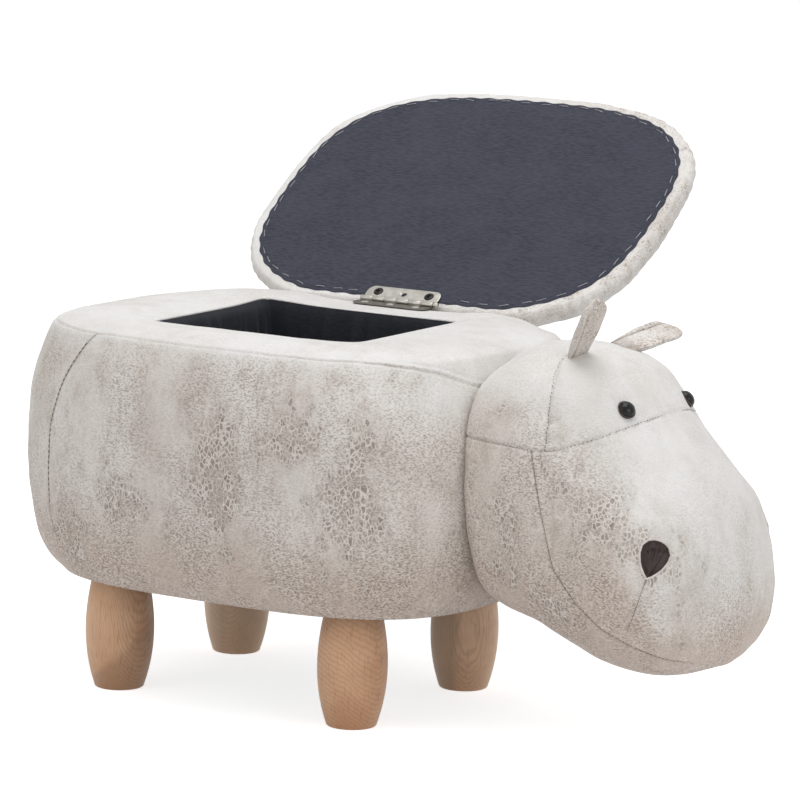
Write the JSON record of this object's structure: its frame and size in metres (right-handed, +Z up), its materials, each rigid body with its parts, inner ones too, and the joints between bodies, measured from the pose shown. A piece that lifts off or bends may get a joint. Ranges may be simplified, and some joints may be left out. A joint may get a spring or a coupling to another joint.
{
  "type": "storage ottoman",
  "caption": "Upholstered hippo-shaped storage ottoman on turned wooden legs, with a stuffed head and a padded lid hinged at the rear over a lined bin.",
  "frame": {"origin": "on the floor, under the centre of the bounding box with the lid open", "axes": "+X along the body towards the head, +Y towards the hinge and the open lid, +Z up"},
  "size_m": [0.6442, 0.5614, 0.475],
  "materials": {
    "faux_leather": "off-white imitation leather with a pebbled grain and worn greige patches",
    "black_cloth": "black non-woven cloth",
    "lining_cloth": "charcoal plain-woven cloth",
    "plywood": "bare plywood",
    "leg_wood": "turned light wood under clear satin varnish",
    "foam": "upholstery foam",
    "stuffing": "polyester fibre stuffing",
    "nickel": "steel plated in antique nickel",
    "steel": "zinc-plated steel",
    "black_screw": "blackened steel",
    "eye_black": "high-gloss black dome",
    "brown_satin": "dark brown satin"
  },
  "bodies": {
    "base": {"base_panel": "plywood", "dust_cover": "black_cloth", "side_board_right": "plywood", "side_board_left": "plywood", "bin_wall_front": "plywood", "bin_wall_rear": "plywood", "bulkhead_front": "plywood", "bulkhead_rear": "plywood", "top_deck": "plywood", "bin_liner": "black_cloth", "padding_front": "foam", "padding_rear": "foam", "padding_side_right": "foam", "padding_side_left": "foam", "padding_top": "foam", "cover_side_right": "faux_leather", "cover_side_left": "faux_leather", "cover_rear": "faux_leather", "cover_top": "faux_leather", "leg_front_right": "leg_wood", "leg_front_left": "leg_wood", "leg_rear_right": "leg_wood", "leg_rear_left": "leg_wood", "leg_bolt_front_right": "steel", "leg_bolt_front_left": "steel", "leg_bolt_rear_right": "steel", "leg_bolt_rear_left": "steel", "tee_nut_front_right": "steel", "tee_nut_front_left": "steel", "tee_nut_rear_right": "steel", "tee_nut_rear_left": "steel", "neck_board": "plywood", "neck_screw_right": "steel", "neck_screw_left": "steel", "head_stuffing": "stuffing", "head_cover_crown": "faux_leather", "head_cover_forehead": "faux_leather", "head_cover_muzzle": "faux_leather", "head_cover_cheeks": "faux_leather", "ear_right": "faux_leather", "ear_left": "faux_leather", "eye_right": "eye_black", "eye_left": "eye_black", "nostril_right": "brown_satin", "nostril_left": "brown_satin", "hinge_leaf_body": "nickel", "hinge_pin": "nickel", "hinge_screw_body_1": "nickel", "hinge_screw_body_2": "nickel", "hinge_screw_body_3": "nickel"},
    "lid": {"lid_cover": "faux_leather", "lid_board": "plywood", "lid_foam": "foam", "lid_lining": "lining_cloth", "hinge_leaf_lid": "nickel", "hinge_screw_lid_1": "black_screw", "hinge_screw_lid_2": "black_screw"}
  },
  "joints": [
    {"name": "lid_hinge", "type": "hinge", "parent": "base", "child": "lid", "pos_m": [-0.09753, 0.03547, 0.31568], "axis": [1, 0, 0], "range_deg": [0, 145]}
  ]
}
